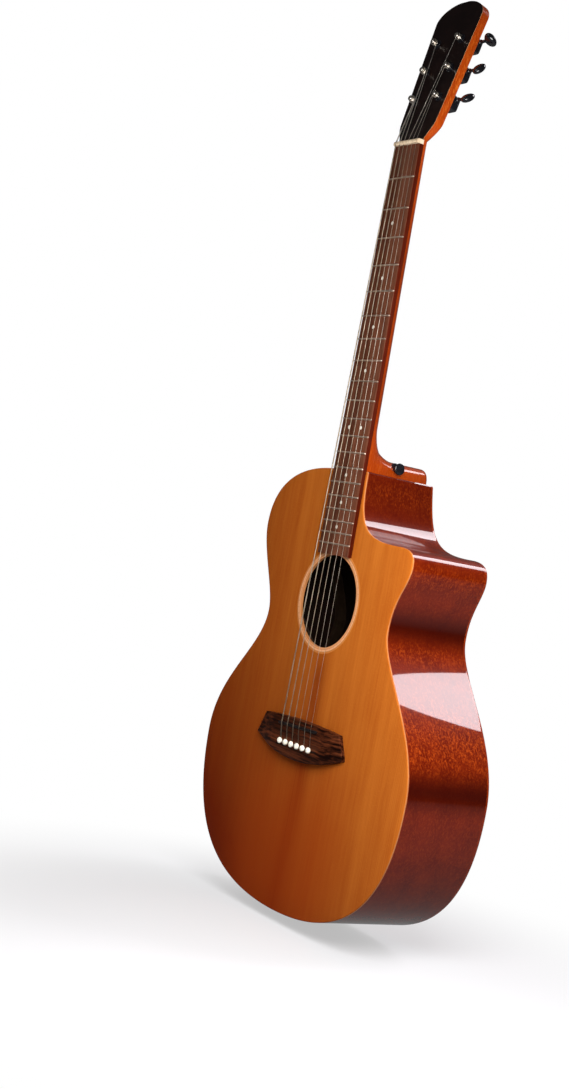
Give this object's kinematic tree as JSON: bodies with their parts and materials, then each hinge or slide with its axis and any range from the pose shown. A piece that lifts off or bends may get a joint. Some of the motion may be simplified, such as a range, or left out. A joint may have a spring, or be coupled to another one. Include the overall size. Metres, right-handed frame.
{
  "type": "steel-string acoustic guitar with cutaway",
  "caption": "Flat-top guitar with a deep hollow body, a rounded cutaway, round sound hole, pin bridge, fretted neck and a back-tilted head with enclosed geared tuners.",
  "frame": {"origin": "centre of the end pin's outer face, the lowest point of the upright guitar", "axes": "+Z from the tail up the neck, +X to the treble and cutaway side, the soundboard faces -Y"},
  "size_m": [0.3908, 0.1267, 1.0382],
  "materials": {
    "spruce_top": "satin-gloss lacquer over fine straight grain",
    "inner_wood": "bare sanded wood",
    "red_mahogany": "deep high-gloss lacquer",
    "neck_wood": "gloss lacquer",
    "rosewood": "oiled, open-pored",
    "black_veneer": "black gloss lacquer",
    "cream_bone": "polished bone",
    "ivory_pin": "polished ivory-coloured plastic",
    "dark_saddle": "satin black",
    "pale_inlay": "lacquered over",
    "black_metal": "black gloss",
    "string_metal": "wound and plain wire",
    "steel": "plated"
  },
  "bodies": {
    "guitar": {"back_brace_1": "inner_wood", "back_brace_2": "inner_wood", "back_brace_3": "inner_wood", "back_brace_4": "inner_wood", "back_plate": "red_mahogany", "bridge": "rosewood", "bridge_pin_1": "ivory_pin", "bridge_pin_2": "ivory_pin", "bridge_pin_3": "ivory_pin", "bridge_pin_4": "ivory_pin", "bridge_pin_5": "ivory_pin", "bridge_pin_6": "ivory_pin", "bridge_plate": "rosewood", "end_pin": "black_metal", "fingerboard": "rosewood", "head_veneer": "black_veneer", "heel_strap_button": "black_metal", "lining_back_bass": "inner_wood", "lining_back_treble": "inner_wood", "lining_front_bass": "inner_wood", "lining_front_treble": "inner_wood", "neck": "neck_wood", "neck_block": "inner_wood", "nut": "cream_bone", "rosette": "pale_inlay", "saddle": "dark_saddle", "side_bass": "red_mahogany", "side_treble": "red_mahogany", "soundboard": "spruce_top", "string_1": "string_metal", "string_2": "string_metal", "string_3": "string_metal", "string_4": "string_metal", "string_5": "string_metal", "string_6": "string_metal", "tail_block": "inner_wood", "tone_bar_lower": "inner_wood", "tone_bar_upper": "inner_wood", "truss_rod": "steel", "tuner_housing_1": "black_metal", "tuner_housing_2": "black_metal", "tuner_housing_3": "black_metal", "tuner_housing_4": "black_metal", "tuner_housing_5": "black_metal", "tuner_housing_6": "black_metal", "upper_brace": "inner_wood", "x_brace_falling": "inner_wood", "x_brace_rising": "inner_wood"},
    "knob_1": {"tuner_knob_1": "black_metal"},
    "post_1": {"tuner_post_1": "steel"},
    "knob_2": {"tuner_knob_2": "black_metal"},
    "post_2": {"tuner_post_2": "steel"},
    "knob_3": {"tuner_knob_3": "black_metal"},
    "post_3": {"tuner_post_3": "steel"},
    "knob_4": {"tuner_knob_4": "black_metal"},
    "post_4": {"tuner_post_4": "steel"},
    "knob_5": {"tuner_knob_5": "black_metal"},
    "post_5": {"tuner_post_5": "steel"},
    "knob_6": {"tuner_knob_6": "black_metal"},
    "post_6": {"tuner_post_6": "steel"}
  },
  "joints": [
    {"name": "knob_1_turn", "type": "hinge", "parent": "guitar", "child": "knob_1", "pos_m": [0.0212, -0.02831, 0.92192], "axis": [1, 0, 0], "continuous": true},
    {"name": "post_1_turn", "type": "hinge", "parent": "guitar", "child": "post_1", "pos_m": [0.0212, -0.04553, 0.92004], "axis": [0, -0.9744, 0.225], "continuous": true},
    {"name": "knob_2_turn", "type": "hinge", "parent": "guitar", "child": "knob_2", "pos_m": [0.0212, -0.02033, 0.95651], "axis": [1, 0, 0], "continuous": true},
    {"name": "post_2_turn", "type": "hinge", "parent": "guitar", "child": "post_2", "pos_m": [0.0212, -0.03754, 0.95463], "axis": [0, -0.9744, 0.225], "continuous": true},
    {"name": "knob_3_turn", "type": "hinge", "parent": "guitar", "child": "knob_3", "pos_m": [0.0212, -0.01234, 0.9911], "axis": [1, 0, 0], "continuous": true},
    {"name": "post_3_turn", "type": "hinge", "parent": "guitar", "child": "post_3", "pos_m": [0.0212, -0.02956, 0.98922], "axis": [0, -0.9744, 0.225], "continuous": true},
    {"name": "knob_4_turn", "type": "hinge", "parent": "guitar", "child": "knob_4", "pos_m": [-0.0212, -0.01234, 0.9911], "axis": [-1, 0, 0], "continuous": true},
    {"name": "post_4_turn", "type": "hinge", "parent": "guitar", "child": "post_4", "pos_m": [-0.0212, -0.02956, 0.98922], "axis": [0, -0.9744, 0.225], "continuous": true},
    {"name": "knob_5_turn", "type": "hinge", "parent": "guitar", "child": "knob_5", "pos_m": [-0.0212, -0.02033, 0.95651], "axis": [-1, 0, 0], "continuous": true},
    {"name": "post_5_turn", "type": "hinge", "parent": "guitar", "child": "post_5", "pos_m": [-0.0212, -0.03754, 0.95463], "axis": [0, -0.9744, 0.225], "continuous": true},
    {"name": "knob_6_turn", "type": "hinge", "parent": "guitar", "child": "knob_6", "pos_m": [-0.0212, -0.02831, 0.92192], "axis": [-1, 0, 0], "continuous": true},
    {"name": "post_6_turn", "type": "hinge", "parent": "guitar", "child": "post_6", "pos_m": [-0.0212, -0.04553, 0.92004], "axis": [0, -0.9744, 0.225], "continuous": true}
  ],
  "couplings": [
    {"joint": "post_1_turn", "follows": "knob_1_turn", "ratio": 0.071429},
    {"joint": "post_2_turn", "follows": "knob_2_turn", "ratio": 0.071429},
    {"joint": "post_3_turn", "follows": "knob_3_turn", "ratio": 0.071429},
    {"joint": "post_4_turn", "follows": "knob_4_turn", "ratio": 0.071429},
    {"joint": "post_5_turn", "follows": "knob_5_turn", "ratio": 0.071429},
    {"joint": "post_6_turn", "follows": "knob_6_turn", "ratio": 0.071429}
  ]
}
